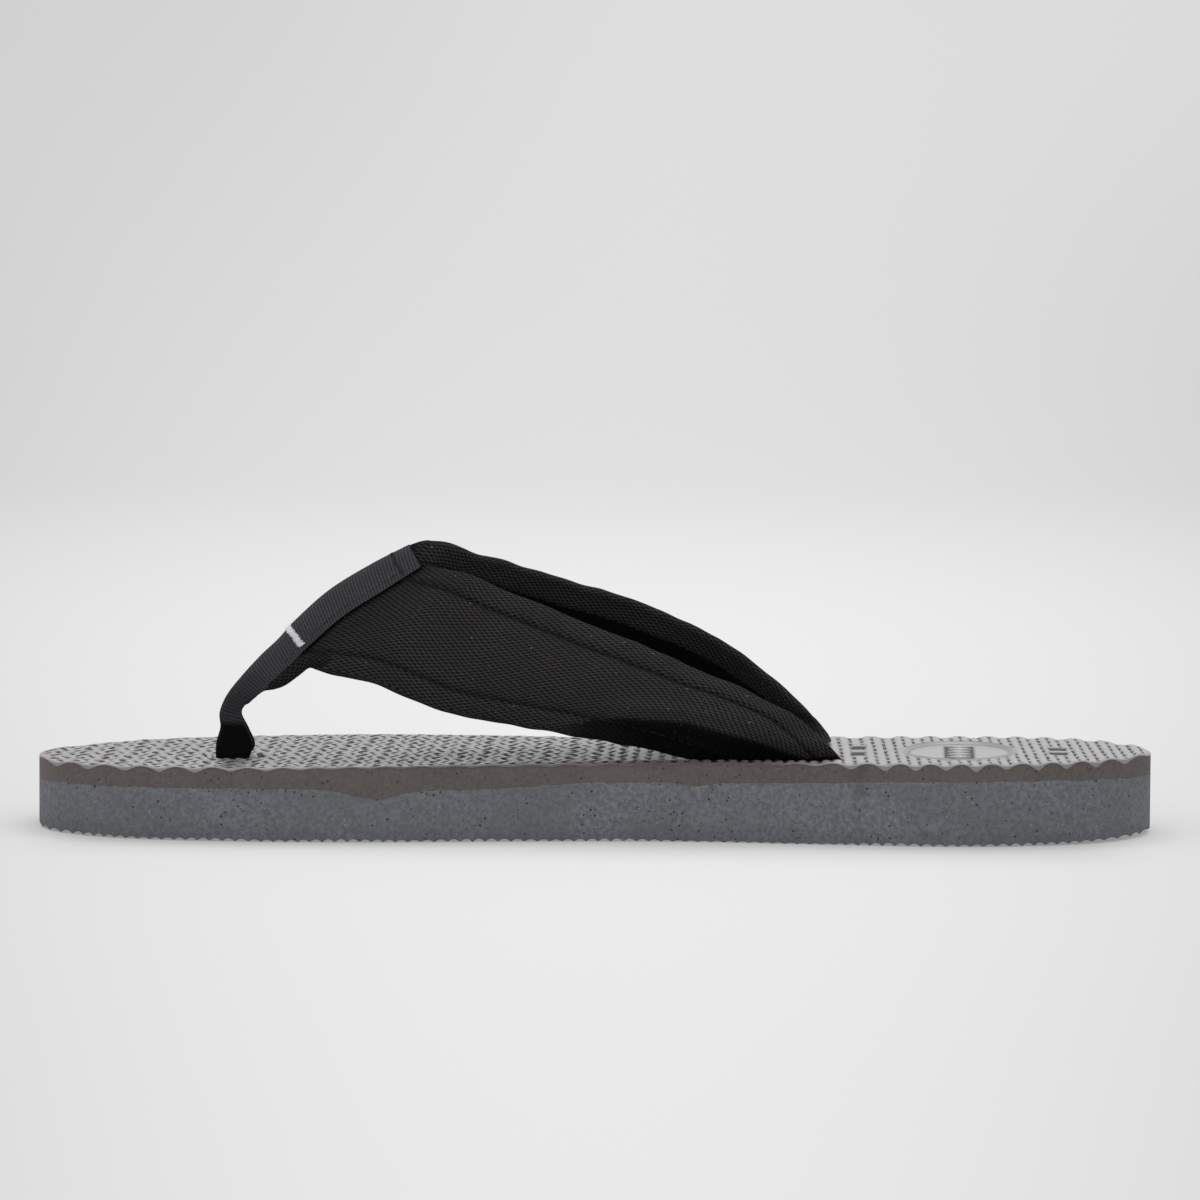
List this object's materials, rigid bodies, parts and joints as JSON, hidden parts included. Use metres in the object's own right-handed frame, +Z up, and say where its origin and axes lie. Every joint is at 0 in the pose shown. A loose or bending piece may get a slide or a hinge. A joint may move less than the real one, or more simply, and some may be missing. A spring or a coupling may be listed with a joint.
{
  "type": "flip flop",
  "caption": "Right-foot flip flop: two-layer foam sole that flexes at the ball, padded canvas strap, folded toe tape and rubber plugs.",
  "frame": {"origin": "on the ground, under the middle of the sole's length and width", "axes": "+Z up, toe towards -X, heel towards +X, arch (medial) side towards -Y, outer (lateral) side towards +Y"},
  "size_m": [0.28, 0.0979, 0.0718],
  "materials": {
    "outsole_foam": "matte expanded foam, speckled",
    "footbed_foam": "moulded satin foam with fine ribs",
    "canvas": "plain-weave canvas, matte",
    "strap_foam": "open-cell padding",
    "lining": "smooth woven lining",
    "grosgrain_tape": "ribbed satin tape",
    "plug_rubber": "satin",
    "black_thread": "thread",
    "white_thread": "thread"
  },
  "bodies": {
    "rearfoot": {"outsole_rear": "outsole_foam", "footbed_rear": "footbed_foam", "medial_strap_outer": "canvas", "medial_strap_padding": "strap_foam", "medial_strap_lining": "lining", "medial_anchor_web": "grosgrain_tape", "medial_plug": "plug_rubber", "lateral_strap_outer": "canvas", "lateral_strap_padding": "strap_foam", "lateral_strap_lining": "lining", "lateral_anchor_web": "grosgrain_tape", "lateral_plug": "plug_rubber"},
    "forefoot": {"outsole_front": "outsole_foam", "footbed_front": "footbed_foam", "toe_plug": "plug_rubber", "toe_tape_outer": "grosgrain_tape", "toe_tape_core": "grosgrain_tape", "front_bar_tack": "white_thread", "top_bar_tack": "black_thread"}
  },
  "joints": [
    {"name": "sole_flex", "type": "hinge", "parent": "rearfoot", "child": "forefoot", "pos_m": [-0.048, 0, 0.0178], "axis": [0, 1, 0], "range_deg": [0, 30], "stiffness_Nm_per_rad": 1.5, "deforming": ["toe_tape_outer", "toe_tape_core", "front_bar_tack", "top_bar_tack"]}
  ]
}
